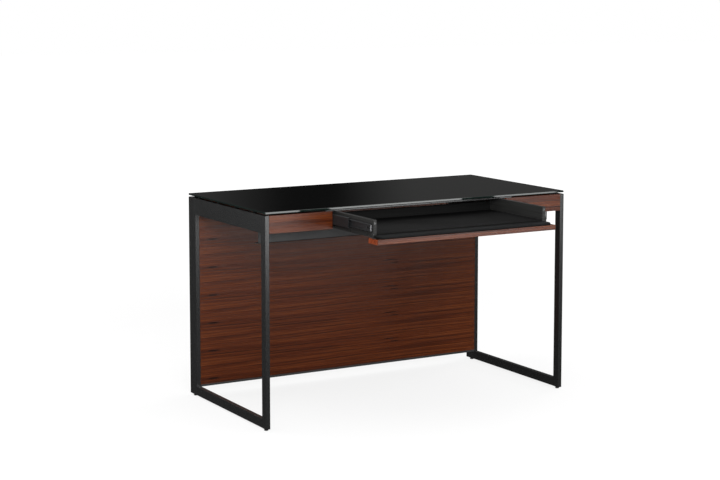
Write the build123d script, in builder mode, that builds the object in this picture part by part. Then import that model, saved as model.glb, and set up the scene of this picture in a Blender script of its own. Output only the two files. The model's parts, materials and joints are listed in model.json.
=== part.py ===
from build123d import *
import os

os.makedirs("parts", exist_ok=True)

# A computer desk: two welded steel side frames, a glass top held clear of them, wood front panels,
# a wood back panel, and a keyboard tray on ball slides whose front flap drops to make a palm rest.
# Millimetres, +Z up, +Y towards the back. The tray is modelled pulled out with its flap down.
# Origin: on the floor, mid-width, halfway between the desk's rear edge and the open flap's edge.

# Whole desk
desk_width = 1219.2
desk_depth = 609.6
desk_height = 736.6
glass_thickness = 6.35
glass_gap = 6.0  # air between the frame and the glass
foot_gap = 6.0  # the levelers lift the frame this much

# Side frames
tube_width = 16.0
tube_wall = 1.5
tube_corner = 1.2
front_leg_depth = 30.0
rear_leg_depth = 56.0
top_rail_height = 60.0
bottom_rail_height = 32.0
end_plate_thickness = 3.0

# Wood and panels
edge_break = 0.5  # small chamfer that softens a sharp edge
front_panel_thickness = 17.0
front_panel_height = 60.0
back_panel_thickness = 16.0
back_panel_clearance = 30.0  # from the frame's bottom up to the panel's edge channel
edge_channel_height = 8.0
sheet = 1.2  # folded steel of the edge channel
bay_width = 711.4  # clear opening between the two bay walls
bay_wall_thickness = 16.0
bay_wall_height = 62.0

# Keyboard tray
slide_space = 12.7  # each side, between bay wall and tray
tray_travel = 277.0
tray_depth = 330.0
tray_wall = 12.0
tray_top_gap = 1.0  # tray side below the frame's top
tray_bottom = 59.0  # below the frame's top
tray_back_height = 30.0

# Drop flap, palm pad and the pivot that joins them to the tray
flap_width = 706.6
flap_height = 59.0
flap_thickness = 17.0
flap_top_gap = 0.5  # closed flap below the frame's top
flap_face_drop = 60.0  # open flap's upper face below the frame's top
pivot_rise = 11.7  # pivot above the open flap's upper face
pad_thickness = 8.6
pad_gap = 0.8  # closed pad to the tray's front end
pad_corner = 20.0

# Slides: three nested channels, sizes across the travel
slide_length = 305.0
slide_metal = 1.5
slide_bend = 1.8
slide_bend_inside = 0.6
slide_centre_drop = 28.0
slide_setback = 36.0  # outer member behind the desk's front plane
inner_slide_setback = 8.0  # inner member behind the tray's front end
outer_member = {"s_web": 0.0, "s_mouth": 9.6, "half_height": 22.5, "mouth_half": 18.3}
middle_member = {"s_web": 2.6, "s_mouth": 11.0, "half_height": 17.4, "mouth_half": 13.2}
inner_member = {"s_web": 12.7, "s_mouth": 5.5, "half_height": 12.3, "mouth_half": 10.8}
outer_balls = {"s": 5.4, "ball_height": 19.2}
inner_balls = {"s": 7.4, "ball_height": 14.1}
ball_radius = 1.75
cage_length = 110.0
cage_strip = (0.8, 2.4)  # thickness and height of each strip of cage
balls_per_strip = 6
wall_slide_holes = (35.0, 160.0, 270.0)
tray_slide_holes = (24.0, 150.0, 280.0)
slide_screw_length = 10.5

# Fasteners
wood_screw = {"radius": 2.0, "head_radius": 3.6, "head_height": 2.2}
frame_bolt = {"radius": 3.0, "head_radius": 5.0, "head_height": 3.2}
wall_bolt = {"radius": 2.5, "head_radius": 4.5, "head_height": 2.6}
header_screw = {"radius": 2.0, "head_radius": 3.4, "head_height": 1.0, "socket": False}
wall_slide_screw = {"radius": 2.0, "head_radius": 3.5, "head_height": 0.8, "socket": False}
tray_slide_screw = {"radius": 2.0, "head_radius": 3.5, "head_height": 1.6}
tray_base_screw = {"radius": 2.0, "head_radius": 3.2, "head_height": 0.8, "socket": False}
arm_screw = {"radius": 1.4, "head_radius": 2.4, "head_height": 1.4}
socket_ratio = 0.55  # hexagon socket to head, across
socket_depth = 0.6  # and its depth, as a share of the head's height
nut_radius = 4.5
nut_length = 11.0
bolt_grip = 10.0  # bolt past its plate

# Angle brackets behind the panels
bracket_metal = 2.5
bracket_leaf = 28.0
bracket_height = 24.0
bracket_hole = 17.4  # screw from the bracket's corner
back_bracket_heights = (110.0, 360.0, 610.0)
front_bracket_drop = 42.0
side_screw_length = 10.0
panel_screw_length = 14.0

# Heights and planes that follow from them
frame_bottom = foot_gap
frame_top = desk_height - glass_thickness - glass_gap
frame_height = frame_top - frame_bottom
half_width = desk_width / 2
inner_face = half_width - tube_width
bay_half = bay_width / 2
tray_half = bay_half - slide_space
tray_floor = frame_top - tray_bottom

# The closed flap is flush with the front panels. Its pivot stands behind its inner face by the same
# distance as it stands above the open flap's upper face, so a quarter turn lays the flap level.
flap_face = frame_top - flap_face_drop
pivot_z = flap_face + pivot_rise
closed_flap_bottom = frame_top - flap_top_gap - flap_height
pivot_back = flap_thickness + pivot_rise  # closed, from the desk's front plane
tuck = pivot_z - closed_flap_bottom  # open flap's inner edge behind the pivot
overhang = tray_travel - pivot_back - tuck + flap_height
total_depth = desk_depth + overhang
rear = total_depth / 2
front = rear - desk_depth
pivot_y = front + pivot_back - tray_travel
flap_inner = pivot_y + tuck
flap_front = flap_inner - flap_height
tray_front = front + flap_thickness + pad_thickness + pad_gap - tray_travel
panel_back = front + front_panel_thickness
back_panel_front = rear - rear_leg_depth
back_panel_rear = back_panel_front + back_panel_thickness
slide_front = front + slide_setback
inner_slide_front = tray_front + inner_slide_setback
slide_z = frame_top - slide_centre_drop

bay_wall_mid = bay_half + bay_wall_thickness / 2

# Cross pieces
crossbar_height = 42.0
crossbar_flange = 30.0
crossbar_metal = 2.0
crossbar_bend = 4.0
crossbar_front = front + 81.0
crossbar_top = frame_top - bay_wall_height
crossbar_bottom = crossbar_top - crossbar_height
end_plate = 4.0  # plates that bolt the crossbar and the rear rail to the side frames
end_plate_top_gap = 8.0
crossbar_plate_depth = 56.0
crossbar_bolts = ((14.0, 22.0), (42.0, 40.0))  # behind the crossbar's face, below the frame's top
crossbar_screw_backs = (10.0, 22.0)
crossbar_screw_length = 18.0
rear_rail_depth = 25.0
rear_rail_height = 30.0
rear_rail_mid = rear - 20.0
rear_rail_top = frame_top + 5.0  # it closes most of the gap under the glass
rear_plate_depth = 34.0
rear_plate_height = 54.0
rear_bolt_spread = 9.0
rear_bolt_drop = 42.0
wall_bolt_drops = (15.0, 47.0)
wall_bolt_grip = 30.0
header_length = 761.0
header_depth = 20.0
header_height = 5.0
header_mid = front + 2.0 + header_depth / 2
header_seat = 4.0  # screw heads sink into the header down to here
header_sink = 4.0
header_screw_length = 20.0
tray_screw_backs = (40.0, 150.0, 260.0)
tray_screw_length = 32.0

sides = (("left", -1), ("right", 1))
ends = (("front", front + front_leg_depth / 2), ("rear", rear - rear_leg_depth / 2))
upwards = (Align.CENTER, Align.CENTER, Align.MIN)


def keep(piece, name):
    piece.part.label = name
    export_step(piece.part, f"parts/{name}.step")


def slab(x, y, z, mode=Mode.ADD):
    """A rectangular block in the open part, each of x, y and z being a pair of limits."""
    middle = [(low + high) / 2 for low, high in (x, y, z)]
    lengths = [abs(high - low) for low, high in (x, y, z)]
    with Locations(tuple(middle)):
        Box(*lengths, mode=mode)


def peg(start, direction, radius, length, mode=Mode.ADD):
    """A round bar in the open part, from start along direction."""
    with Locations(Plane(origin=start, z_dir=direction)):
        Cylinder(radius, length, align=upwards, mode=mode)


def screw(seat, direction, length, radius, head_radius, head_height, socket=True):
    """A screw whose head sits on seat and whose shank points along direction."""
    head = Plane(origin=seat, z_dir=direction).offset(-head_height)
    peg(seat, direction, radius, length)
    peg(head.origin, direction, head_radius, head_height)
    if socket:
        with BuildSketch(head) as recess:
            RegularPolygon(head_radius * socket_ratio, 6)
        extrude(recess.sketch, amount=head_height * socket_depth, mode=Mode.SUBTRACT)


# Fasteners come first, because they cut their own holes in what they hold.

# Angle brackets: each stands in the corner of a side surface (plane X) and a panel surface (plane Y).
bracket_corners = []
for name, sign in sides:
    for z in back_bracket_heights:
        bracket_corners.append((sign * inner_face, -sign, back_panel_rear, z))
    low = frame_top - front_bracket_drop
    bracket_corners.append((sign * inner_face, -sign, panel_back, low))
    bracket_corners.append((sign * (bay_half + bay_wall_thickness), sign, panel_back, low))

with BuildPart() as brackets:
    for x, x_way, y, z in bracket_corners:
        lift = (z - bracket_height / 2, z + bracket_height / 2)
        slab((x, x + x_way * bracket_metal), (y, y + bracket_leaf), lift)
        slab((x, x + x_way * bracket_leaf), (y, y + bracket_metal), lift)

with BuildPart() as bracket_screws:
    for x, x_way, y, z in bracket_corners:
        on_side = (x + x_way * bracket_metal, y + bracket_hole, z)
        on_panel = (x + x_way * bracket_hole, y + bracket_metal, z)
        screw(on_side, (-x_way, 0, 0), side_screw_length, **wood_screw)
        screw(on_panel, (0, -1, 0), panel_screw_length, **wood_screw)
keep(bracket_screws, "bracket_screws")

with BuildPart() as drilled_brackets:
    add(brackets.part)
    add(bracket_screws.part, mode=Mode.SUBTRACT)
keep(drilled_brackets, "panel_brackets")

# Bolts through the end plates of the crossbar and the rear rail, into rivet nuts in the tubes.
bolt_seats = []
for back, drop in crossbar_bolts:
    bolt_seats.append((crossbar_front + back, frame_top - drop))
for back in (-rear_bolt_spread, rear_bolt_spread):
    bolt_seats.append((rear_rail_mid + back, frame_top - rear_bolt_drop))

with BuildPart() as frame_bolts:
    for name, sign in sides:
        for y, z in bolt_seats:
            seat = (sign * (inner_face - end_plate), y, z)
            screw(seat, (sign, 0, 0), end_plate + bolt_grip, **frame_bolt)
keep(frame_bolts, "frame_bolts")

with BuildPart() as rivet_nuts:
    for name, sign in sides:
        for y, z in bolt_seats:
            peg((sign * inner_face, y, z), (sign, 0, 0), nut_radius, nut_length)
    add(frame_bolts.part, mode=Mode.SUBTRACT)
keep(rivet_nuts, "rivet_nuts")

with BuildPart() as bay_wall_screws:
    for name, sign in sides:
        for drop in wall_bolt_drops:
            seat = (sign * bay_wall_mid, back_panel_rear, frame_top - drop)
            screw(seat, (0, -1, 0), back_panel_thickness + wall_bolt_grip, **wall_bolt)
keep(bay_wall_screws, "bay_wall_screws")

with BuildPart() as crossbar_screws:
    for name, sign in sides:
        for back in crossbar_screw_backs:
            seat = (sign * bay_wall_mid, crossbar_front + back, crossbar_top - crossbar_metal)
            screw(seat, (0, 0, 1), crossbar_screw_length, **wood_screw)
keep(crossbar_screws, "crossbar_screws")

with BuildPart() as header_screws:
    for name, sign in sides:
        seat = (sign * bay_wall_mid, header_mid, frame_top + header_seat)
        screw(seat, (0, 0, -1), header_screw_length, **header_screw)
keep(header_screws, "header_screws")

with BuildPart() as slide_wall_screws:
    for name, sign in sides:
        for back in wall_slide_holes:
            seat = (sign * (bay_half - slide_metal), slide_front + back, slide_z)
            screw(seat, (sign, 0, 0), slide_screw_length, **wall_slide_screw)
keep(slide_wall_screws, "slide_wall_screws")

with BuildPart() as slide_tray_screws:
    for name, sign in sides:
        for back in tray_slide_holes:
            seat = (sign * (tray_half + slide_metal), inner_slide_front + back, slide_z)
            screw(seat, (-sign, 0, 0), slide_screw_length, **tray_slide_screw)
keep(slide_tray_screws, "slide_tray_screws")

with BuildPart() as tray_screws:
    for name, sign in sides:
        for back in tray_screw_backs:
            seat = (sign * tray_half, tray_front + back, tray_floor + tray_wall / 2)
            screw(seat, (-sign, 0, 0), tray_screw_length, **tray_base_screw)
keep(tray_screws, "tray_screws")


# Side frames: two legs and two rails of rectangular tube on each side.
def leg(name, x_middle, y_middle, depth, holes):
    with BuildPart() as tube:
        with BuildSketch(Plane.XY.offset(frame_bottom)):
            with Locations((x_middle, y_middle)):
                RectangleRounded(tube_width, depth, tube_corner)
                Rectangle(tube_width - 2 * tube_wall, depth - 2 * tube_wall, mode=Mode.SUBTRACT)
        extrude(amount=frame_height)
        for fasteners in holes:
            add(fasteners.part, mode=Mode.SUBTRACT)
    keep(tube, name)


def rail(name, x_middle, z_low, height, holes):
    y_start = front + front_leg_depth
    length = rear - rear_leg_depth - y_start
    with BuildPart() as tube:
        with BuildSketch(Plane.XZ.offset(-y_start)):
            with Locations((x_middle, z_low + height / 2)):
                RectangleRounded(tube_width, height, tube_corner)
                Rectangle(tube_width - 2 * tube_wall, height - 2 * tube_wall, mode=Mode.SUBTRACT)
        extrude(amount=-length)
        for fasteners in holes:
            add(fasteners.part, mode=Mode.SUBTRACT)
    keep(tube, name)


# The bushes carry the levelers' threads.
leveler_radius = 7.0
leveler_foot = 4.5
leveler_edge = 0.8
leveler_neck = 4.2
leveler_stem = 3.0
leveler_length = 26.0
thread_gap = 0.05
bush_radius = 5.5
bush_height = 18.0
corners = [(side, end, sign * (half_width - tube_width / 2), y) for side, sign in sides for end, y in ends]

for side, sign in sides:
    x_tube = sign * (half_width - tube_width / 2)
    leg(f"{side}_front_leg", x_tube, ends[0][1], front_leg_depth, [])
    leg(f"{side}_rear_leg", x_tube, ends[1][1], rear_leg_depth,
        [rivet_nuts, frame_bolts, bracket_screws])
    rail(f"{side}_top_rail", x_tube, frame_top - top_rail_height, top_rail_height,
         [rivet_nuts, frame_bolts, bracket_screws])
    rail(f"{side}_bottom_rail", x_tube, frame_bottom, bottom_rail_height, [])

with BuildPart() as leveler_bushes:
    for side, end, x, y in corners:
        peg((x, y, frame_bottom), (0, 0, 1), bush_radius, bush_height)
        peg((x, y, frame_bottom), (0, 0, 1), leveler_stem + thread_gap, bush_height, mode=Mode.SUBTRACT)
keep(leveler_bushes, "leveler_bushes")

with BuildPart() as leg_end_plates:
    for side, end, x, y in corners:
        depth = front_leg_depth if end == "front" else rear_leg_depth
        across = tube_width / 2 - tube_wall
        along = depth / 2 - tube_wall
        for z in (frame_bottom, frame_top - end_plate_thickness):
            slab((x - across, x + across), (y - along, y + along), (z, z + end_plate_thickness))
        peg((x, y, frame_bottom), (0, 0, 1), bush_radius, bush_height, mode=Mode.SUBTRACT)
keep(leg_end_plates, "leg_end_plates")

for side, end, x, y in corners:
    with BuildPart() as leveler:
        with BuildSketch(Plane.XY):
            with Locations((x, y)):
                Circle(leveler_radius)
        extrude(amount=leveler_foot)
        chamfer(leveler.edges().filter_by(GeomType.CIRCLE), length=leveler_edge)
        peg((x, y, leveler_foot), (0, 0, 1), leveler_neck, frame_bottom - leveler_foot)
        peg((x, y, frame_bottom), (0, 0, 1), leveler_stem, leveler_length - frame_bottom)
    keep(leveler, f"{side}_{end}_leveler")

# Crossbar: a folded channel, open to the back. The plate welded on each end stands up beside the top
# rail, so nothing hangs below the rail behind the crossbar's face.
with BuildPart() as crossbar:
    with BuildSketch(Plane.YZ.offset(-inner_face)):
        height = crossbar_height
        with Locations((crossbar_front + crossbar_flange / 2, crossbar_bottom + height / 2)):
            RectangleRounded(crossbar_flange, height, crossbar_bend)
            RectangleRounded(crossbar_flange - 2 * crossbar_metal, height - 2 * crossbar_metal,
                             crossbar_bend - crossbar_metal, mode=Mode.SUBTRACT)
        with Locations((crossbar_front + crossbar_flange, crossbar_bottom + height / 2)):
            Rectangle(2 * crossbar_bend, height * 2, mode=Mode.SUBTRACT)
    extrude(amount=2 * inner_face)
    for side, sign in sides:
        slab((sign * (inner_face - end_plate), sign * inner_face),
             (crossbar_front, crossbar_front + crossbar_plate_depth),
             (crossbar_top, frame_top - end_plate_top_gap))
    add(frame_bolts.part, mode=Mode.SUBTRACT)
    add(crossbar_screws.part, mode=Mode.SUBTRACT)
keep(crossbar, "front_crossbar")

# Rear rail: tube across the top behind the back panel, with a bolting plate at each end.
with BuildPart() as rear_rail:
    with BuildSketch(Plane.YZ.offset(-(inner_face - end_plate))):
        with Locations((rear_rail_mid, rear_rail_top - rear_rail_height / 2)):
            RectangleRounded(rear_rail_depth, rear_rail_height, tube_corner)
            Rectangle(rear_rail_depth - 2 * tube_wall, rear_rail_height - 2 * tube_wall, mode=Mode.SUBTRACT)
    extrude(amount=2 * (inner_face - end_plate))
    for side, sign in sides:
        slab((sign * (inner_face - end_plate), sign * inner_face),
             (rear_rail_mid - rear_plate_depth / 2, rear_rail_mid + rear_plate_depth / 2),
             (frame_top - rear_plate_height, frame_top))
    add(frame_bolts.part, mode=Mode.SUBTRACT)
keep(rear_rail, "rear_rail")

# Back panel, in a folded channel along its bottom edge.
channel_bottom = frame_bottom + back_panel_clearance
with BuildPart() as back_panel:
    slab((-inner_face, inner_face), (back_panel_front, back_panel_rear), (channel_bottom + sheet, frame_top))
    recess_top = channel_bottom + edge_channel_height
    for y in (back_panel_front, back_panel_rear):
        slab((-inner_face, inner_face), (y - sheet, y + sheet), (channel_bottom, recess_top), Mode.SUBTRACT)
    for fasteners in (bracket_screws, bay_wall_screws):
        add(fasteners.part, mode=Mode.SUBTRACT)
keep(back_panel, "back_panel")

with BuildPart() as edge_channel:
    slab((-inner_face, inner_face), (back_panel_front, back_panel_rear),
         (channel_bottom, channel_bottom + edge_channel_height))
    slab((-inner_face, inner_face), (back_panel_front + sheet, back_panel_rear - sheet),
         (channel_bottom + sheet, channel_bottom + edge_channel_height), Mode.SUBTRACT)
keep(edge_channel, "back_panel_channel")

# Bay walls carry the slides; the front panels close the two sides of the tray's opening.
for side, sign in sides:
    with BuildPart() as bay_wall:
        slab((sign * bay_half, sign * (bay_half + bay_wall_thickness)), (panel_back, back_panel_front),
             (frame_top - bay_wall_height, frame_top))
        for fasteners in (bracket_screws, bay_wall_screws, crossbar_screws, header_screws, slide_wall_screws):
            add(fasteners.part, mode=Mode.SUBTRACT)
    keep(bay_wall, f"{side}_bay_wall")

    with BuildPart() as front_panel:
        slab((sign * bay_half, sign * inner_face), (front, panel_back),
             (frame_top - front_panel_height, frame_top))
        chamfer(front_panel.edges().filter_by(Axis.X).group_by(Axis.Y)[0], length=edge_break)
        for fasteners in (bracket_screws, header_screws):
            add(fasteners.part, mode=Mode.SUBTRACT)
    keep(front_panel, f"{side}_front_panel")

# Header: a flat bar over the tray's opening that stiffens the glass's front edge.
with BuildPart() as header:
    slab((-header_length / 2, header_length / 2),
         (header_mid - header_depth / 2, header_mid + header_depth / 2),
         (frame_top, frame_top + header_height))
    chamfer(header.edges().filter_by(Axis.X), length=edge_break)
    for side, sign in sides:
        seat = (sign * bay_wall_mid, header_mid, frame_top + header_seat)
        peg(seat, (0, 0, 1), header_sink, header_height, mode=Mode.SUBTRACT)
    add(header_screws.part, mode=Mode.SUBTRACT)
keep(header, "bay_header")

# Glass top on clear pads, and thin pads on the header.
pad_radius = 6.5
side_pad_backs = (90.0, 230.0, 370.0, 529.6)
cross_pad_places = (-240.0, 0.0, 240.0)
glass_corner = 2.5
glass_edge = 0.7
glass_bottom = frame_top + glass_gap
with BuildPart() as glass_pads:
    for side, sign in sides:
        for back in side_pad_backs:
            seat = (sign * (half_width - tube_width / 2), front + back, frame_top)
            peg(seat, (0, 0, 1), pad_radius, glass_gap)
    for x in cross_pad_places:
        peg((x, header_mid, frame_top + header_height), (0, 0, 1), pad_radius, glass_gap - header_height)
        peg((x, rear_rail_mid, rear_rail_top), (0, 0, 1), pad_radius, glass_bottom - rear_rail_top)
keep(glass_pads, "glass_pads")

with BuildPart() as glass:
    with BuildSketch(Plane.XY.offset(glass_bottom)):
        with Locations((0, (front + rear) / 2)):
            RectangleRounded(desk_width, desk_depth, glass_corner)
    extrude(amount=glass_thickness)
    rims = glass.faces().sort_by(Axis.Z)
    chamfer(rims[-1].edges() + rims[0].edges(), length=glass_edge)
keep(glass, "glass_top")


# Slides. The distance s runs from the bay wall's face towards the tray.
def slide_x(sign, s):
    return sign * (bay_half - s)


def slide_member(name, sign, y_start, holes, s_web, s_mouth, half_height, mouth_half):
    s_low, s_high = min(s_web, s_mouth), max(s_web, s_mouth)
    middle = slide_x(sign, (s_low + s_high) / 2)
    width = s_high - s_low
    with BuildPart() as member:
        with BuildSketch(Plane.XZ.offset(-y_start)):
            with Locations((middle, slide_z)):
                RectangleRounded(width, 2 * half_height, slide_bend)
                RectangleRounded(width - 2 * slide_metal, 2 * (half_height - slide_metal),
                                 slide_bend_inside, mode=Mode.SUBTRACT)
            with Locations((slide_x(sign, s_mouth), slide_z)):
                Rectangle(3 * slide_metal, 2 * mouth_half, mode=Mode.SUBTRACT)
        extrude(amount=-slide_length)
        for fasteners in holes:
            add(fasteners.part, mode=Mode.SUBTRACT)
    keep(member, name)


def ball_cage(name, sign, y_start, s, ball_height):
    thick, tall = cage_strip
    with BuildPart() as cage:
        for z in (slide_z - ball_height, slide_z + ball_height):
            x = slide_x(sign, s)
            slab((x - thick / 2, x + thick / 2), (y_start, y_start + cage_length),
                 (z - tall / 2, z + tall / 2))
            for k in range(balls_per_strip):
                with Locations((x, y_start + cage_length * (k + 0.5) / balls_per_strip, z)):
                    Sphere(ball_radius)
    keep(cage, name)


middle_front = slide_front - tray_travel / 2
outer_cage_front = slide_front + (slide_length - tray_travel / 2 - cage_length) / 2
inner_cage_front = middle_front + (slide_length - tray_travel / 2 - cage_length) / 2
for side, sign in sides:
    slide_member(f"{side}_slide_outer", sign, slide_front, [slide_wall_screws], **outer_member)
    slide_member(f"{side}_slide_middle", sign, middle_front, [], **middle_member)
    slide_member(f"{side}_slide_inner", sign, inner_slide_front, [slide_tray_screws], **inner_member)
    ball_cage(f"{side}_outer_ball_cage", sign, outer_cage_front, **outer_balls)
    ball_cage(f"{side}_inner_ball_cage", sign, inner_cage_front, **inner_balls)

# A bright tab closes the front end of each inner slide member.
tab_metal = 1.2
tab_height = 18.0
with BuildPart() as end_tabs:
    for side, sign in sides:
        slab((slide_x(sign, inner_member["s_mouth"]), slide_x(sign, inner_member["s_web"])),
             (inner_slide_front - tab_metal, inner_slide_front),
             (slide_z - tab_height / 2, slide_z + tab_height / 2))
keep(end_tabs, "slide_end_tabs")

# Pivot pins through the flap's arms into the tray's sides.
pin_radius = 2.0
pin_clearance = 0.05
arm_gap = 0.4
arm_metal = 2.5
arm_width = 8.4
arm_inner = tray_half + arm_gap
arm_eye = 5.0
pin_head = 1.3
pin_head_radius = 3.6
pin_gap = 0.1
pin_depth = 9.0
with BuildPart() as hinge_pins:
    for side, sign in sides:
        head = (sign * (arm_inner + arm_metal + pin_gap), pivot_y, pivot_z)
        peg(head, (-sign, 0, 0), pin_radius, pin_gap + arm_metal + arm_gap + pin_depth)
        peg(head, (sign, 0, 0), pin_head_radius, pin_head)
keep(hinge_pins, "hinge_pins")

# Magnets in the tray's front ends hold the closed flap by steel strikes behind its pad.
magnet_radius = 4.0
magnet_length = 5.0
magnet_drop = 12.0
strike_radius = 5.0
strike_thickness = 2.0
with BuildPart() as magnets:
    for side, sign in sides:
        x = sign * (tray_half - tray_wall / 2)
        peg((x, tray_front, frame_top - magnet_drop), (0, 1, 0), magnet_radius, magnet_length)
keep(magnets, "tray_magnets")

# Tray: base between two sides, and a low back.
tray_rear = tray_front + tray_depth
tray_low_edge = 1.5
tray_round = 1.0
for side, sign in sides:
    with BuildPart() as tray_side:
        slab((sign * tray_half, sign * (tray_half - tray_wall)), (tray_front, tray_rear),
             (tray_floor, frame_top - tray_top_gap))
        low_front = tray_side.edges().filter_by(Axis.X).group_by(Axis.Z)[0].sort_by(Axis.Y)[0]
        chamfer(low_front, length=tray_low_edge)
        top_edges = tray_side.edges().filter_by(Axis.Y).group_by(Axis.Z)[-1]
        fillet(top_edges, radius=tray_round)
        for fasteners in (slide_tray_screws, tray_screws, hinge_pins, magnets):
            add(fasteners.part, mode=Mode.SUBTRACT)
    keep(tray_side, f"tray_{side}_side")

inside_half = tray_half - tray_wall
with BuildPart() as tray_base:
    slab((-inside_half, inside_half), (tray_front, tray_rear), (tray_floor, tray_floor + tray_wall))
    low_front = tray_base.edges().filter_by(Axis.X).group_by(Axis.Z)[0].sort_by(Axis.Y)[0]
    chamfer(low_front, length=tray_low_edge)
    add(tray_screws.part, mode=Mode.SUBTRACT)
keep(tray_base, "tray_base")

with BuildPart() as tray_back:
    slab((-inside_half, inside_half), (tray_rear - tray_wall, tray_rear),
         (tray_floor + tray_wall, tray_floor + tray_wall + tray_back_height))
    fillet(tray_back.edges().filter_by(Axis.X).group_by(Axis.Z)[-1], radius=tray_round)
keep(tray_back, "tray_back")

# Rubber dots under the tray's front edge: the open flap's inner edge rests up against them.
bumper_height = tray_floor - flap_face
bumper_radius = 3.0
bumper_setback = 8.5
bumper_places = (-300.0, -100.0, 100.0, 300.0)
with BuildPart() as bumpers:
    for x in bumper_places:
        peg((x, tray_front + bumper_setback, tray_floor), (0, 0, -1), bumper_radius, bumper_height)
keep(bumpers, "flap_bumpers")

# Flap, its two pivot arms with their screws, its strikes and its palm pad.
arm_foot = 2.0
arm_foot_reach = 20.0
arm_screw_steps = (9.5, 16.0)
arm_screw_inset = 3.2
arm_screw_length = 11.0
with BuildPart() as arm_screws:
    for side, sign in sides:
        for step in arm_screw_steps:
            seat = (sign * (arm_inner + arm_width - arm_screw_inset), pivot_y - step, flap_face + arm_foot)
            screw(seat, (0, 0, -1), arm_screw_length, **arm_screw)
keep(arm_screws, "hinge_arm_screws")

with BuildPart() as hinge_arms:
    for side, sign in sides:
        web = (sign * arm_inner, sign * (arm_inner + arm_metal))
        foot = (sign * arm_inner, sign * (arm_inner + arm_width))
        slab(web, (pivot_y - arm_eye, pivot_y + arm_eye), (flap_face, pivot_z))
        peg((web[0], pivot_y, pivot_z), (sign, 0, 0), arm_eye, arm_metal)
        slab(foot, (pivot_y - arm_foot_reach, pivot_y + arm_eye), (flap_face, flap_face + arm_foot))
        peg((web[0], pivot_y, pivot_z), (sign, 0, 0), pin_radius + pin_clearance, arm_metal, Mode.SUBTRACT)
    add(arm_screws.part, mode=Mode.SUBTRACT)
keep(hinge_arms, "hinge_arms")

with BuildPart() as strikes:
    for side, sign in sides:
        x = sign * (tray_half - tray_wall / 2)
        y = pivot_y - (frame_top - magnet_drop - pivot_z)
        peg((x, y, flap_face), (0, 0, -1), strike_radius, strike_thickness)
keep(strikes, "flap_strikes")

with BuildPart() as flap:
    slab((-flap_width / 2, flap_width / 2), (flap_front, flap_inner), (flap_face - flap_thickness, flap_face))
    chamfer(flap.edges().filter_by(Axis.X), length=edge_break)
    for fasteners in (arm_screws, strikes):
        add(fasteners.part, mode=Mode.SUBTRACT)
keep(flap, "flap_panel")

pad_back = tray_front - pad_gap
pad_front = flap_front + 1.0
pad_back_corner = 3.0
pad_top_round = 2.5
with BuildPart() as palm_pad:
    with BuildSketch(Plane.XY.offset(flap_face)) as pad_outline:
        with Locations((0, (pad_front + pad_back) / 2)):
            Rectangle(2 * tray_half, pad_back - pad_front)
        fillet(pad_outline.vertices().group_by(Axis.Y)[0], radius=pad_corner)
        fillet(pad_outline.vertices().group_by(Axis.Y)[-1], radius=pad_back_corner)
    extrude(amount=pad_thickness)
    fillet(palm_pad.faces().sort_by(Axis.Z)[-1].edges(), radius=pad_top_round)
keep(palm_pad, "palm_pad")

print(f"total depth {total_depth:.1f}, rear {rear:.1f}, front {front:.1f}, frame top {frame_top:.2f}")
print(f"pivot y {pivot_y:.2f} z {pivot_z:.2f}, flap front {flap_front:.2f}, tray front {tray_front:.2f}")
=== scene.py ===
import bmesh
import bpy
import json
import math
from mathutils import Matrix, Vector


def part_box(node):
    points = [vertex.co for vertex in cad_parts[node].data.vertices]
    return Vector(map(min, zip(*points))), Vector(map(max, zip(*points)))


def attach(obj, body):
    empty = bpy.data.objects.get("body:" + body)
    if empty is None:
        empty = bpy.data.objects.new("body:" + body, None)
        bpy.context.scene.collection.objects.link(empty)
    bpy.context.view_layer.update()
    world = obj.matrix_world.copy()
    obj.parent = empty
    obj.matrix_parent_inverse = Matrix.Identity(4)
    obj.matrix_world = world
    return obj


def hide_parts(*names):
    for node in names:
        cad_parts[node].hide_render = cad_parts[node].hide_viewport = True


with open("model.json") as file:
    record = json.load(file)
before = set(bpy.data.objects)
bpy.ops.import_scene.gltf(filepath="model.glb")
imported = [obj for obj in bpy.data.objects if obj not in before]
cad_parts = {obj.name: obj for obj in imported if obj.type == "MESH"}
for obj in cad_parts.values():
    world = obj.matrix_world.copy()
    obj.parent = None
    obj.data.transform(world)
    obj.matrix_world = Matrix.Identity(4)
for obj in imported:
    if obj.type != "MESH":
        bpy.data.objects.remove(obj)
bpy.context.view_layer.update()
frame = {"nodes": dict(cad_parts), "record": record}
nodes = frame["nodes"]
scene = bpy.context.scene
print("frame loaded:", len(nodes), "nodes")


# ---- small helpers for node trees

def startMaterial(name):
    material = bpy.data.materials.new(name)
    material.use_nodes = True
    tree = material.node_tree
    return material, tree, tree.nodes["Principled BSDF"]


def addNode(tree, kind, inputs=None, **settings):
    node = tree.nodes.new("ShaderNode" + kind)
    for key, value in settings.items():
        setattr(node, key, value)
    for key, value in (inputs or {}).items():
        if isinstance(value, bpy.types.NodeSocket):
            tree.links.new(value, node.inputs[key])
        else:
            node.inputs[key].default_value = value
    return node


def maths(tree, operation, a, b=0.0):
    return addNode(tree, "Math", {0: a, 1: b}, operation=operation).outputs[0]


def stretched(tree, coordinates, scale, location=(0, 0, 0)):
    inputs = {"Vector": coordinates, "Scale": scale, "Location": location}
    return addNode(tree, "Mapping", inputs).outputs["Vector"]


def noise(tree, coordinates, scale, detail=3.0, roughness=0.5, distortion=0.0):
    inputs = {"Vector": coordinates, "Scale": scale, "Detail": detail,
              "Roughness": roughness, "Distortion": distortion}
    return addNode(tree, "TexNoise", inputs).outputs["Fac"]


def ramp(tree, factor, stops):
    node = addNode(tree, "ValToRGB", {"Fac": factor})
    marks = node.color_ramp.elements
    while len(marks) < len(stops):
        marks.new(0.5)
    for mark, (place, colour) in zip(marks, stops):
        mark.position = place
        mark.color = (*colour, 1)
    return node.outputs["Color"]


def remap(tree, value, low, high):
    inputs = {"Value": value, "To Min": low, "To Max": high}
    return addNode(tree, "MapRange", inputs).outputs["Result"]


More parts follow.
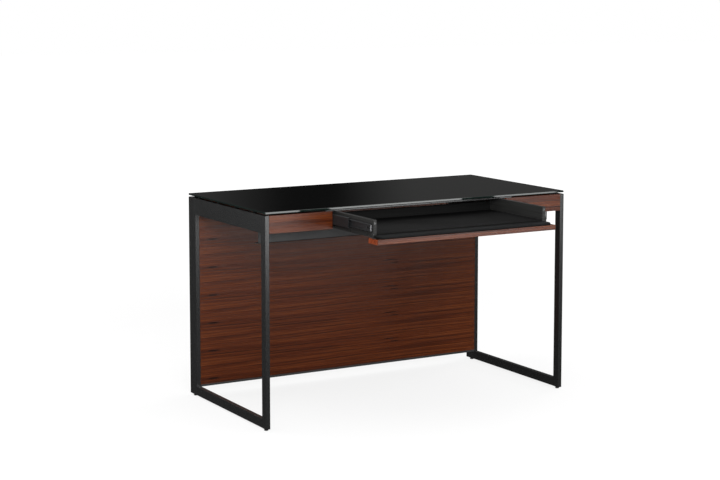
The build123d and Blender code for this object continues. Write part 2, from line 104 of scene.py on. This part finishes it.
def mixColours(tree, factor, first, second, blend="MIX"):
    node = addNode(tree, "Mix", data_type="RGBA", blend_type=blend)
    for socket, value in ((node.inputs[0], factor), (node.inputs[6], first), (node.inputs[7], second)):
        if isinstance(value, bpy.types.NodeSocket):
            tree.links.new(value, socket)
        else:
            socket.default_value = value if isinstance(value, float) else (*value, 1)
    return node.outputs[2]


def bump(tree, shader, height, distance, strength=1.0):
    node = addNode(tree, "Bump", {"Height": height, "Distance": distance, "Strength": strength})
    tree.links.new(node.outputs["Normal"], shader.inputs["Normal"])


# 0 to 1: how far the surface faces along the piece's own X, Y or Z, either way
def facing(tree, axis):
    normal = addNode(tree, "TexCoord").outputs["Normal"]
    parts = addNode(tree, "SeparateXYZ", {"Vector": normal})
    return maths(tree, "ABSOLUTE", parts.outputs[axis])


# ---- materials

powderCoatLooks = {
    "powderCoat": dict(colour=(0.0100, 0.0103, 0.0105), roughness=0.25, grain=1400.0, grainDepth=0.00003),
    "mattCoat": dict(colour=(0.0100, 0.0103, 0.0105), roughness=0.50, grain=1100.0, grainDepth=0.00004),
}


def makePowderCoat(name):
    look = powderCoatLooks[name]
    material, tree, shader = startMaterial(name)
    place = addNode(tree, "TexCoord").outputs["Object"]
    fine = noise(tree, place, look["grain"], 2.0)
    broad = noise(tree, place, 9.0, 3.0)
    tone = ramp(tree, broad, ((0.3, look["colour"]), (0.75, [c * 1.25 for c in look["colour"]])))
    tree.links.new(tone, shader.inputs["Base Color"])
    tree.links.new(remap(tree, fine, look["roughness"] - 0.04, look["roughness"] + 0.06),
                   shader.inputs["Roughness"])
    bump(tree, shader, fine, look["grainDepth"])
    return material


walnutLook = dict(
    dark=(0.024, 0.0046, 0.0010), middle=(0.073, 0.0146, 0.0031), light=(0.122, 0.0320, 0.0076),
    fleck=(0.012, 0.0030, 0.0014), endDark=(0.110, 0.014, 0.003), endLight=(0.330, 0.062, 0.014),
    fibreDark=(0.62, 0.58, 0.56), fibreLight=(1.10, 1.08, 1.07), figureStops=(0.365, 0.50, 0.625),
    knotPlace=(2.077, 0.065), knotSize=(0.036, 0.0055), knotTear=0.35, wanderDepth=0.009,
    broadShare=0.2, streakShare=0.8, poreShare=0.45, speckShare=0.35,
    roughness=0.26, rougher=0.07, smoother=0.05, gloss=0.27, poreDepth=0.00006)
# waves per metre along the grain and across it
walnutGrain = dict(
    wander=(2.2, 7.0, 1), broad=(1.1, 60.0, 1), streaks=(1.8, 225.0, 1), fibres=(14.0, 1700.0, 1),
    flecks=(9.0, 150.0, 1), patches=(3.0, 9.0, 1), pores=(45.0, 2600.0, 1),
    rings=(1, 160.0, 30.0), specks=1800.0)


def makeWalnut(name, leafHeight=0.0, offset=(0, 0, 0)):
    # grain runs along X; with a leaf height, the same figure comes back in every leaf of veneer
    look, grain = walnutLook, walnutGrain
    material, tree, shader = startMaterial(name)
    place = stretched(tree, addNode(tree, "TexCoord").outputs["Object"], (1, 1, 1), offset)
    parts = addNode(tree, "SeparateXYZ", {"Vector": place})
    across = maths(tree, "ADD", parts.outputs["Z"], parts.outputs["Y"])
    if leafHeight:
        across = maths(tree, "FLOORED_MODULO", across, leafHeight)
    sheet = addNode(tree, "CombineXYZ", {"X": parts.outputs["X"], "Y": across}).outputs["Vector"]
    wander = noise(tree, stretched(tree, sheet, grain["wander"]), 1.0, 2.0)
    bent = maths(tree, "ADD", across, maths(tree, "MULTIPLY", wander, look["wanderDepth"]))
    lines = addNode(tree, "CombineXYZ", {"X": parts.outputs["X"], "Y": bent}).outputs["Vector"]
    broad = noise(tree, stretched(tree, lines, grain["broad"]), 1.0, 2.0, 0.5)
    streaks = noise(tree, stretched(tree, lines, grain["streaks"]), 1.0, 3.0, 0.66)
    fibres = noise(tree, stretched(tree, lines, grain["fibres"]), 1.0, 2.0, 0.6)
    figure = maths(tree, "ADD", maths(tree, "MULTIPLY", broad, look["broadShare"]),
                   maths(tree, "MULTIPLY", streaks, look["streakShare"]))
    tones = (look["dark"], look["middle"], look["light"])
    colour = ramp(tree, figure, tuple(zip(look["figureStops"], tones)))
    darkFibre = ramp(tree, fibres, ((0.35, look["fibreDark"]), (0.62, look["fibreLight"])))
    colour = mixColours(tree, 1.0, colour, darkFibre, "MULTIPLY")
    # short dark flecks
    marks = noise(tree, stretched(tree, lines, grain["flecks"]), 1.0, 2.0, 0.5)
    patches = noise(tree, stretched(tree, sheet, grain["patches"]), 1.0, 1.0)
    marked = ramp(tree, maths(tree, "MULTIPLY", marks, patches), ((0.42, (0, 0, 0)), (0.47, (1, 1, 1))))
    colour = mixColours(tree, marked, colour, look["fleck"])
    if leafHeight:
        # one knot's dark tail in every leaf
        long, tall = look["knotSize"]
        x, up = look["knotPlace"]
        spot = stretched(tree, lines, (1 / long, 1 / tall, 0), (-x / long, -up / tall, 0))
        reach = addNode(tree, "VectorMath", {0: spot}, operation="LENGTH").outputs["Value"]
        near = addNode(tree, "MapRange", {"Value": reach, "To Min": 1.0, "To Max": 0.0}).outputs["Result"]
        knot = ramp(tree, maths(tree, "MULTIPLY", near, maths(tree, "ADD", streaks, look["knotTear"])),
                    ((0.12, (0, 0, 0)), (0.50, (1, 1, 1))))
        colour = mixColours(tree, knot, colour, look["fleck"])
    pores = noise(tree, stretched(tree, lines, grain["pores"]), 1.0, 1.0)
    pit = ramp(tree, pores, ((0.28, (0, 0, 0)), (0.40, (1, 1, 1))))
    colour = mixColours(tree, look["poreShare"], colour, mixColours(tree, 1.0, colour, pit, "MULTIPLY"))
    # end grain on the faces that look along X
    rings = noise(tree, stretched(tree, place, grain["rings"]), 1.0, 3.0, 0.6, 0.4)
    specks = noise(tree, place, grain["specks"], 2.0)
    endTone = ramp(tree, rings, ((0.38, look["endDark"]), (0.58, look["endLight"])))
    speckled = mixColours(tree, 1.0, endTone, specks, "MULTIPLY")
    endTone = mixColours(tree, look["speckShare"], endTone, speckled)
    isEnd = maths(tree, "GREATER_THAN", facing(tree, "X"), 0.7)
    colour = mixColours(tree, isEnd, colour, endTone)
    tree.links.new(colour, shader.inputs["Base Color"])
    roughest, smoothest = look["roughness"] + look["rougher"], look["roughness"] - look["smoother"]
    roughness = remap(tree, streaks, roughest, smoothest)
    tree.links.new(roughness, shader.inputs["Roughness"])
    shader.inputs["Specular IOR Level"].default_value = look["gloss"]
    bump(tree, shader, maths(tree, "ADD", fibres, pit), look["poreDepth"])
    return material


glassLook = dict(face=(0.0022, 0.0023, 0.0023), edge=(0.003, 0.008, 0.0065), etch=0.13, polish=0.04,
                 etchGrain=2600.0, etchDepth=0.00002)


def makeGlass():
    look = glassLook
    material, tree, shader = startMaterial("etchedGlass")
    place = addNode(tree, "TexCoord").outputs["Object"]
    isFace = maths(tree, "GREATER_THAN", facing(tree, "Z"), 0.9)
    fine = noise(tree, place, look["etchGrain"], 1.0)
    tree.links.new(mixColours(tree, isFace, look["edge"], look["face"]), shader.inputs["Base Color"])
    etch = remap(tree, noise(tree, place, 2.4, 2.0), look["etch"] - 0.02, look["etch"] + 0.03)
    rough = addNode(tree, "Mix", {0: isFace, 2: look["polish"], 3: etch}).outputs[0]
    tree.links.new(rough, shader.inputs["Roughness"])
    shader.inputs["IOR"].default_value = 1.52
    bump(tree, shader, maths(tree, "MULTIPLY", fine, isFace), look["etchDepth"])
    return material


laminateLooks = {
    "blackLaminate": dict(colour=(0.0190, 0.0190, 0.0185), roughness=0.56, gloss=0.15, lineDepth=0.00006),
    # the same black board as the rest of the tray, painted much darker: painted shade inside the tray, under
    # the glass top
    "shadedTrayLaminate": dict(colour=(0.0040, 0.0040, 0.0040), roughness=0.66, gloss=0.06, lineDepth=0.00003),
}


def makeLaminate(name):
    # matt black with a faint long grain, as a stained or foiled board has
    look = laminateLooks[name]
    material, tree, shader = startMaterial(name)
    shader.inputs["Specular IOR Level"].default_value = look["gloss"]
    place = addNode(tree, "TexCoord").outputs["Object"]
    parts = addNode(tree, "SeparateXYZ", {"Vector": place})
    along = maths(tree, "ADD", parts.outputs["X"], parts.outputs["Y"])
    sheet = addNode(tree, "CombineXYZ", {"X": along, "Y": parts.outputs["Z"],
                                         "Z": parts.outputs["Y"]}).outputs["Vector"]
    lines = noise(tree, stretched(tree, sheet, (4.0, 420.0, 4.0)), 1.0, 3.0, 0.6)
    dust = noise(tree, place, 700.0, 2.0)
    tone = ramp(tree, lines, ((0.32, [c * 0.75 for c in look["colour"]]),
                              (0.7, [c * 1.5 for c in look["colour"]])))
    tree.links.new(tone, shader.inputs["Base Color"])
    tree.links.new(remap(tree, dust, look["roughness"] - 0.04, look["roughness"] + 0.06),
                   shader.inputs["Roughness"])
    bump(tree, shader, maths(tree, "ADD", lines, maths(tree, "MULTIPLY", dust, 0.4)), look["lineDepth"])
    return material


metalLooks = {
    "zincPlate": dict(colour=(0.47, 0.48, 0.50), metallic=1.0, roughness=0.30, grain=60.0),
    "dullSteel": dict(colour=(0.13, 0.13, 0.135), metallic=1.0, roughness=0.36, grain=60.0),
    "slideSteel": dict(colour=(0.045, 0.047, 0.050), metallic=0.6, roughness=0.36, grain=90.0),
}


def makeMetal(name):
    look = metalLooks[name]
    material, tree, shader = startMaterial(name)
    place = addNode(tree, "TexCoord").outputs["Object"]
    rolled = noise(tree, stretched(tree, place, (12.0, 1.0, 12.0)), look["grain"], 3.0)
    spangle = noise(tree, place, 220.0, 2.0)
    tone = ramp(tree, spangle, ((0.35, [c * 0.8 for c in look["colour"]]), (0.7, look["colour"])))
    tree.links.new(tone, shader.inputs["Base Color"])
    shader.inputs["Metallic"].default_value = look["metallic"]
    tree.links.new(remap(tree, rolled, look["roughness"] - 0.08, look["roughness"] + 0.12),
                   shader.inputs["Roughness"])
    bump(tree, shader, rolled, 0.00002)
    return material


plasticLooks = {
    "blackPlastic": dict(colour=(0.010, 0.010, 0.010), roughness=0.48, gloss=0.5,
                         grain=1100.0, depth=0.00005),
    "blackRubber": dict(colour=(0.003, 0.003, 0.003), roughness=0.72, gloss=0.10, grain=500.0, depth=0.00006),
}


def makePlastic(name):
    look = plasticLooks[name]
    material, tree, shader = startMaterial(name)
    place = addNode(tree, "TexCoord").outputs["Object"]
    fine = noise(tree, place, look["grain"], 2.0)
    tone = ramp(tree, noise(tree, place, 30.0, 2.0),
                ((0.35, look["colour"]), (0.7, [c * 1.3 for c in look["colour"]])))
    tree.links.new(tone, shader.inputs["Base Color"])
    tree.links.new(remap(tree, fine, look["roughness"] - 0.05, look["roughness"] + 0.05),
                   shader.inputs["Roughness"])
    shader.inputs["Specular IOR Level"].default_value = look["gloss"]
    bump(tree, shader, fine, look["depth"])
    return material


padLook = dict(colour=(0.0044, 0.0046, 0.0048), roughness=0.58, gloss=0.08, cell=620.0, cellDepth=0.00012)


def makePadLeather():
    look = padLook
    material, tree, shader = startMaterial("padLeather")
    place = addNode(tree, "TexCoord").outputs["Object"]
    cells = addNode(tree, "TexVoronoi", {"Vector": place, "Scale": look["cell"]},
                    feature="DISTANCE_TO_EDGE").outputs["Distance"]
    fine = noise(tree, place, look["cell"] * 2.5, 2.0)
    grain = maths(tree, "ADD", maths(tree, "MULTIPLY", cells, 1.2), maths(tree, "MULTIPLY", fine, 0.25))
    tone = ramp(tree, noise(tree, place, 14.0, 3.0),
                ((0.3, look["colour"]), (0.75, [c * 1.35 for c in look["colour"]])))
    tree.links.new(tone, shader.inputs["Base Color"])
    tree.links.new(remap(tree, cells, look["roughness"] + 0.1, look["roughness"] - 0.04),
                   shader.inputs["Roughness"])
    shader.inputs["Specular IOR Level"].default_value = look["gloss"]
    bump(tree, shader, grain, look["cellDepth"])
    return material


leafPitch = 0.102   # height of one leaf of veneer on the back panel
materials = {
    "black_steel": makePowderCoat("powderCoat"),
    "black_glass": makeGlass(),
    "black_laminate": makeLaminate("blackLaminate"),
    "slide_steel": makeMetal("slideSteel"),
    "zinc": makeMetal("zincPlate"),
    "black_plastic": makePlastic("blackPlastic"),
    "black_rubber": makePlastic("blackRubber"),
    "pad_leather": makePadLeather(),
    "walnut": makeWalnut("walnutFront", offset=(0.31, 0.2, 0.07)),
}
backVeneer = makeWalnut("walnutBack", leafHeight=leafPitch, offset=(2.62, 0, 0.011))
print("materials made:", len(materials) + 1)


def paint(piece, material):
    piece.data.materials.clear()
    piece.data.materials.append(material)


for part in frame["record"]["subparts"]:
    paint(nodes[part["node"]], materials[part["material_slot"]])
paint(nodes["back_panel"], backVeneer)
mattCoat = makePowderCoat("mattCoat")
mattNodes = ("front_crossbar", "rear_rail", "back_panel_channel", "panel_brackets",
             "hinge_arms", "hinge_pins")
for name in mattNodes:
    paint(nodes[name], mattCoat)
paint(nodes["slide_end_tabs"], makeMetal("dullSteel"))
# the tray's floor and back take the darker copy of the laminate as painted shade
shadedTrayLaminate = makeLaminate("shadedTrayLaminate")
for name in ("tray_base", "tray_back"):
    paint(nodes[name], shadedTrayLaminate)


# ---- palm pad: firm foam under a stretched cover, rounded at the corners and along the top

palmPadShape = dict(cornerRadius=0.020, backRadius=0.003, edgeRound=0.0036, crown=0.0006, weltRadius=0.0007)


def makePalmPad():
    shape = palmPadShape
    low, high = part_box("palm_pad")
    mesh = bmesh.new()
    bmesh.ops.create_cube(mesh, size=1.0)
    bmesh.ops.scale(mesh, vec=high - low, verts=mesh.verts)
    bmesh.ops.translate(mesh, vec=(low + high) / 2, verts=mesh.verts)
    middleY = (low.y + high.y) / 2
    for isFront, radius in ((True, shape["cornerRadius"]), (False, shape["backRadius"])):
        uprights = [e for e in mesh.edges if abs(e.verts[0].co.z - e.verts[1].co.z) > 0.004
                    and (e.verts[0].co.y < middleY) == isFront]
        bmesh.ops.bevel(mesh, geom=uprights, offset=radius, offset_type="OFFSET", segments=10,
                        profile=0.5, affect="EDGES", material=-1)
    top = [f for f in mesh.faces if f.normal.z > 0.9]
    rim = [e for e in mesh.edges if sum(f in top for f in e.link_faces) == 1]
    bmesh.ops.bevel(mesh, geom=rim, offset=shape["edgeRound"], offset_type="OFFSET", segments=6,
                    profile=0.5, affect="EDGES", material=-1)
    data = bpy.data.meshes.new("palmPad")
    mesh.normal_update()
    mesh.to_mesh(data)
    mesh.free()
    data.shade_smooth()
    pad = bpy.data.objects.new("palmPad", data)
    scene.collection.objects.link(pad)
    paint(pad, materials["pad_leather"])
    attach(pad, "flap")
    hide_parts("palm_pad")


makePalmPad()
print("palm pad made")


# ---- stage, lights and camera

# the floor glows on its own, dimmer near the desk than far off: a painted shade around the desk, white
# further out
floorLook = dict(size=60.0, colour=(0.16, 0.16, 0.16), middle=(0.5, 0.5, 0.0),
                 glowNear=0.81, glowFar=1.0, nearRadius=1.5, farRadius=5.5)
bounceLook = dict(colour=(0.45, 0.45, 0.45), height=-0.001)
backdropRadius = 40.0
skyLook = dict(low=(0.004, 0.004, 0.004), glow=(0.065, 0.065, 0.064), high=(0.55, 0.55, 0.55),
               lowEnd=0.68, highStart=0.88, darkBand=(0.40, 0.455, 0.485, 0.52))


def matt(shader, colour, glow):
    shader.inputs["Base Color"].default_value = (*colour, 1)
    shader.inputs["Roughness"].default_value = 0.9
    shader.inputs["Specular IOR Level"].default_value = 0.0
    shader.inputs["Emission Color"].default_value = (1, 1, 1, 1)
    shader.inputs["Emission Strength"].default_value = glow


def stagePiece(name, mesh, material):
    data = bpy.data.meshes.new(name)
    mesh.to_mesh(data)
    mesh.free()
    piece = bpy.data.objects.new(name, data)
    scene.collection.objects.link(piece)
    paint(piece, material)
    return piece


def stagePlane(name, size, height, material):
    mesh = bmesh.new()
    bmesh.ops.create_grid(mesh, x_segments=1, y_segments=1, size=size / 2)
    bmesh.ops.translate(mesh, vec=(0, 0, height), verts=mesh.verts)
    return stagePiece(name, mesh, material)


def onlyCameraSees(piece):
    piece.visible_diffuse = False
    piece.visible_glossy = False
    piece.visible_transmission = False
    piece.visible_shadow = False


floorPaint, floorTree, floorShader = startMaterial("floorPaint")
matt(floorShader, floorLook["colour"], 1.0)
floorPlace = stretched(floorTree, addNode(floorTree, "TexCoord").outputs["Object"], (1, 1, 1),
                       [-c for c in floorLook["middle"]])
away = addNode(floorTree, "VectorMath", {0: floorPlace}, operation="LENGTH")
glow = addNode(floorTree, "MapRange", {"Value": away.outputs["Value"], "From Min": floorLook["nearRadius"],
                                       "From Max": floorLook["farRadius"], "To Min": floorLook["glowNear"],
                                       "To Max": floorLook["glowFar"]})
floorTree.links.new(glow.outputs["Result"], floorShader.inputs["Emission Strength"])
onlyCameraSees(stagePlane("floor", floorLook["size"], 0.0, floorPaint))

bouncePaint, _, bounceShader = startMaterial("bouncePaint")
matt(bounceShader, bounceLook["colour"], 0.0)
bounceFloor = stagePlane("bounceFloor", floorLook["size"], bounceLook["height"], bouncePaint)
bounceFloor.visible_camera = False
bounceFloor.visible_glossy = False

backdropPaint, _, backdropShader = startMaterial("backdropPaint")
matt(backdropShader, (0, 0, 0), 1.0)
dome = bmesh.new()
bmesh.ops.create_uvsphere(dome, u_segments=48, v_segments=24, radius=backdropRadius)
onlyCameraSees(stagePiece("backdrop", dome, backdropPaint))

# the sky is dark near the horizon, so the glass stays black, and light overhead
world = bpy.data.worlds.new("studio")
world.use_nodes = True
sky = world.node_tree
direction = addNode(sky, "TexCoord").outputs["Generated"]
upward = addNode(sky, "SeparateXYZ", {"Vector": direction}).outputs["Z"]
height = addNode(sky, "MapRange", {"Value": upward, "From Min": -1.0, "From Max": 1.0}).outputs["Result"]
sideways = addNode(sky, "SeparateXYZ", {"Vector": direction}).outputs["X"]
bandTones = [skyLook[tone] for tone in ("glow", "low", "low", "glow")]
glowBand = ramp(sky, sideways, tuple(zip(skyLook["darkBand"], bandTones)))
overHead = ramp(sky, height, ((skyLook["lowEnd"], (0, 0, 0)), (skyLook["highStart"], skyLook["high"])))
shade = mixColours(sky, 1.0, glowBand, overHead, "ADD")
sky.links.new(shade, sky.nodes["Background"].inputs["Color"])
scene.world = world

softboxes = {
    # name: (place, aimed at, width, height, power)
    "overhead": ((0.0, -0.3, 4.2), (0, 0, 0), 5.0, 4.0, 130.0),
    "key": ((-2.4, -5.0, 2.3), (0, 0, 0.4), 3.0, 2.2, 330.0),
    "leftSide": ((-4.0, 2.6, 1.2), (0, 0, 0.5), 2.4, 2.2, 58.0),
    "rearSide": ((5.2, 1.8, 1.6), (0, 0.3, 0.5), 2.2, 1.8, 110.0),
    "fill": ((2.9, -4.6, 1.0), (0, 0, 0.4), 2.4, 1.6, 75.0),
}
# three boards low in front put the broken highlight along the glass's front edge
frontBoards = dict(y=-2.2, middle=0.87, height=1.22)
boardSizes = (("Left", 0.30, 0.60, 14.0), ("Middle", 1.137, 0.754, 18.0), ("Right", 1.90, 0.38, 8.0))
for name, x, width, power in boardSizes:
    softboxes["board" + name] = ((x, frontBoards["y"], frontBoards["middle"]), (x, 0, frontBoards["middle"]),
                                 width, frontBoards["height"], power)


def makeSoftbox(name, place, target, width, height, power):
    light = bpy.data.lights.new(name, "AREA")
    light.shape = "RECTANGLE"
    light.size, light.size_y, light.energy = width, height, power
    holder = bpy.data.objects.new(name, light)
    holder.location = place
    holder.rotation_euler = (Vector(target) - Vector(place)).to_track_quat("-Z", "Y").to_euler()
    holder.visible_camera = False
    holder.visible_glossy = name != "fill"
    holder.visible_diffuse = not name.startswith("board")
    scene.collection.objects.link(holder)


for name, (place, target, width, height, power) in softboxes.items():
    makeSoftbox(name, place, target, width, height, power)

cameraSet = dict(place=(-3.0781, -5.0637, 1.4720), turnRight=29.969, tiltDown=6.119, lens=84.15, shiftY=-0.10)
cameraData = bpy.data.cameras.new("camera")
cameraData.sensor_width = 36.0
cameraData.lens = cameraSet["lens"]
cameraData.shift_y = cameraSet["shiftY"]
camera = bpy.data.objects.new("camera", cameraData)
camera.location = cameraSet["place"]
camera.rotation_euler = (math.radians(90 - cameraSet["tiltDown"]), 0, math.radians(-cameraSet["turnRight"]))
scene.collection.objects.link(camera)
scene.camera = camera
scene.view_settings.view_transform = "Standard"
scene.view_settings.look = "None"
print("stage, lights and camera made")
